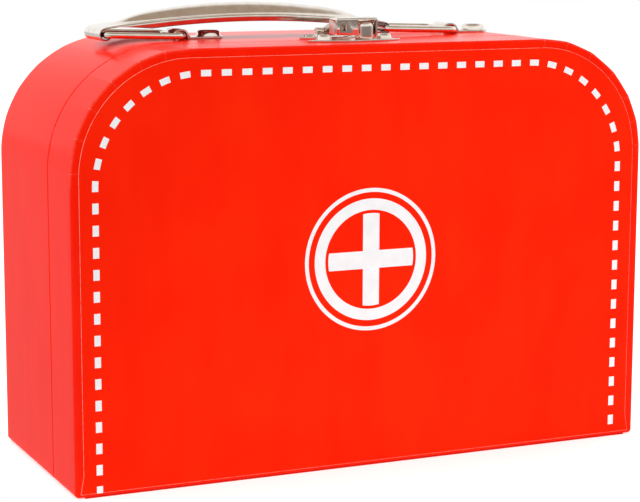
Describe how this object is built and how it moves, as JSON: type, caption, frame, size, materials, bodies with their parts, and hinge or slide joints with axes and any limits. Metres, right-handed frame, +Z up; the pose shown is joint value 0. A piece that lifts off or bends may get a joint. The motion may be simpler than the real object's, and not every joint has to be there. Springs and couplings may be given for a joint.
{
  "type": "toy doctor case",
  "caption": "Small upright cardboard play suitcase with round top corners, a hinged front lid, a sheet-metal carrying handle on two wire links and a hasp lock on top.",
  "frame": {"origin": "middle of the foot, on the surface the case stands on", "axes": "+X along the width, +Y from the lid at the front to the back, +Z up"},
  "size_m": [0.25, 0.097, 0.1855],
  "materials": {
    "greyboard": "grey-brown pressed board",
    "lining_paper": "uncoated off-white lining paper",
    "printed_paper": "satin coated paper, printed orange-red with a white dashed border, rings and a plain cross",
    "wrap_paper": "satin coated paper, printed red",
    "hinge_cloth": "red book cloth",
    "nickel_sheet": "nickel-plated pressed steel",
    "nickel_wire": "nickel-plated steel wire",
    "nickel_rivet": "nickel-plated steel rivets, washers and pin"
  },
  "bodies": {
    "case_body": {"body_wall_board": "greyboard", "body_floor_board": "greyboard", "body_back_board": "greyboard", "body_wrap_paper": "wrap_paper", "back_cover_paper": "printed_paper", "body_lining_band": "lining_paper", "body_lining_back": "lining_paper", "seam_collar": "greyboard", "hinge_cloth_body": "hinge_cloth", "handle_backing_strip": "greyboard", "staple_left": "nickel_sheet", "staple_right": "nickel_sheet", "staple_rivets": "nickel_rivet", "staple_washers": "nickel_rivet", "lock_plate_body": "nickel_sheet", "body_plate_rivets": "nickel_rivet", "body_plate_washers": "nickel_rivet", "hasp_pin": "nickel_rivet"},
    "lid": {"lid_wall_board": "greyboard", "lid_floor_board": "greyboard", "lid_front_board": "greyboard", "lid_wrap_paper": "wrap_paper", "front_label_paper": "printed_paper", "lid_lining_band": "lining_paper", "lid_lining_front": "lining_paper", "hinge_cloth_lid": "hinge_cloth", "lock_plate_lid": "nickel_sheet", "lid_plate_eyelets": "nickel_rivet", "lid_plate_washers": "nickel_rivet"},
    "hasp": {"hasp": "nickel_sheet"},
    "link_left": {"link_left": "nickel_wire"},
    "link_right": {"link_right": "nickel_wire"},
    "handle": {"handle_grip": "nickel_sheet"}
  },
  "joints": [
    {"name": "lid_hinge", "type": "hinge", "parent": "case_body", "child": "lid", "pos_m": [0, -0.0195, 0], "axis": [1, 0, 0], "range_deg": [0, 175]},
    {"name": "hasp_pivot", "type": "hinge", "parent": "case_body", "child": "hasp", "pos_m": [0, -0.011, 0.17385], "axis": [-1, 0, 0], "range_deg": [0, 90]},
    {"name": "link_left_swing", "type": "hinge", "parent": "case_body", "child": "link_left", "pos_m": [-0.0616, 0.0115, 0.1727], "axis": [0, 1, 0], "range_deg": [0, 174]},
    {"name": "handle_pivot", "type": "hinge", "parent": "link_left", "child": "handle", "pos_m": [-0.09378, 0.0115, 0.1738], "axis": [0, 1, 0], "range_deg": [-174, 0]},
    {"name": "link_right_swing", "type": "hinge", "parent": "case_body", "child": "link_right", "pos_m": [0.0616, 0.0115, 0.1727], "axis": [0, 1, 0], "range_deg": [0, 174]}
  ],
  "couplings": [
    {"joint": "handle_pivot", "follows": "link_left_swing", "ratio": -1},
    {"joint": "link_right_swing", "follows": "link_left_swing", "ratio": 1}
  ]
}
